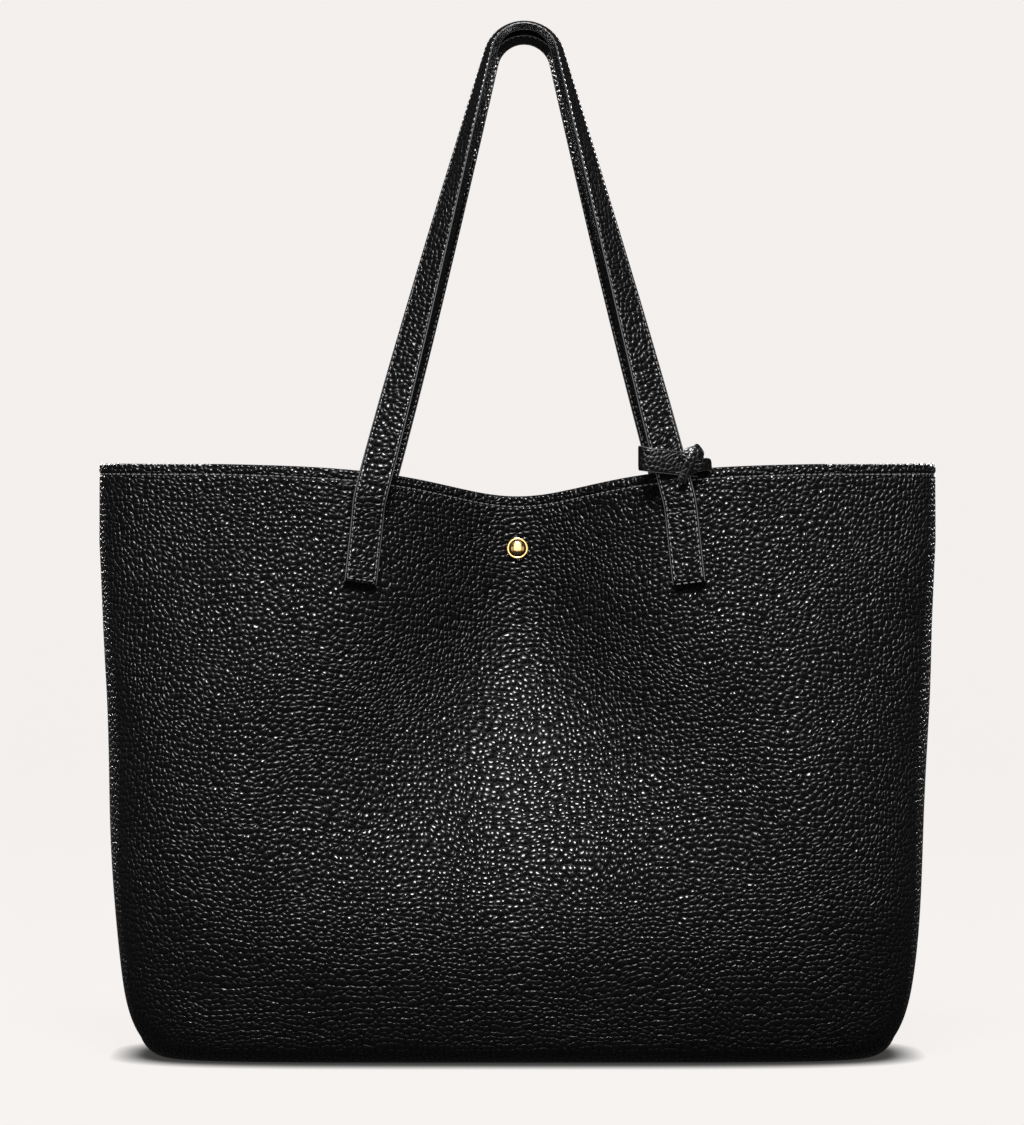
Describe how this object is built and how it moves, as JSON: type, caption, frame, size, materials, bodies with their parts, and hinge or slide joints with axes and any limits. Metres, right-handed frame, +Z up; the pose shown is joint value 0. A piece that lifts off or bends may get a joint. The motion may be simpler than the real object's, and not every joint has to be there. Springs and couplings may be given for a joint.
{
  "type": "open-top leather tote bag",
  "caption": "Open-top tote bag of pebbled black leather with two long shoulder straps, a snap closure and a leather strip knotted round one strap.",
  "frame": {"origin": "on the floor under the middle of the base", "axes": "+Z up, X across the width of the mouth, the front with the snap's cap faces -Y"},
  "size_m": [0.443, 0.1378, 0.5455],
  "materials": {
    "pebbled_leather": "black pebble-grained leather, semi-gloss grain with darker creases",
    "strap_leather": "black pebble-grained leather with smooth sealed edges and black stitching",
    "facing_leather": "thin smooth black leather",
    "lining_cloth": "dark plain-woven lining cloth",
    "fibre_board": "grey-brown fibre board",
    "gold_metal": "polished light gold plating",
    "snap_metal": "plated steel"
  },
  "bodies": {
    "bag_body": {"back_panel": "pebbled_leather", "base_panel": "pebbled_leather", "base_board": "fibre_board", "base_lining": "lining_cloth", "back_lining": "lining_cloth", "back_rim_facing": "facing_leather", "snap_stud": "snap_metal", "snap_back_cap": "gold_metal", "back_strap_left_end": "strap_leather", "back_strap_right_end": "strap_leather", "back_left_patch": "facing_leather", "back_right_patch": "facing_leather"},
    "front_wall": {"front_panel": "pebbled_leather", "front_lining": "lining_cloth", "front_rim_facing": "facing_leather", "snap_cap": "gold_metal", "snap_socket": "snap_metal", "front_strap_left_end": "strap_leather", "front_strap_right_end": "strap_leather", "front_left_patch": "facing_leather", "front_right_patch": "facing_leather"},
    "front_strap": {"front_strap_outer": "strap_leather", "front_strap_core": "fibre_board", "front_strap_inner": "strap_leather"},
    "back_strap": {"back_strap_outer": "strap_leather", "back_strap_core": "fibre_board", "back_strap_inner": "strap_leather"},
    "strap_tie": {"tie_band": "strap_leather", "tie_knot": "strap_leather", "tie_tail": "strap_leather"}
  },
  "joints": [
    {"name": "mouth_open", "type": "hinge", "parent": "bag_body", "child": "front_wall", "pos_m": [0, -0.0424, 0], "axis": [1, 0, 0], "range_deg": [0, 10]},
    {"name": "front_strap_swing", "type": "hinge", "parent": "front_wall", "child": "front_strap", "pos_m": [0, -0.0514, 0.288], "axis": [1, 0, 0], "range_deg": [0, 140]},
    {"name": "back_strap_swing", "type": "hinge", "parent": "bag_body", "child": "back_strap", "pos_m": [0, 0.0514, 0.288], "axis": [-1, 0, 0], "range_deg": [0, 150]},
    {"name": "tie_slide", "type": "slide", "parent": "front_strap", "child": "strap_tie", "axis": [-0.2552, 0.1506, 0.9551], "range_m": [0, 0.025]}
  ]
}
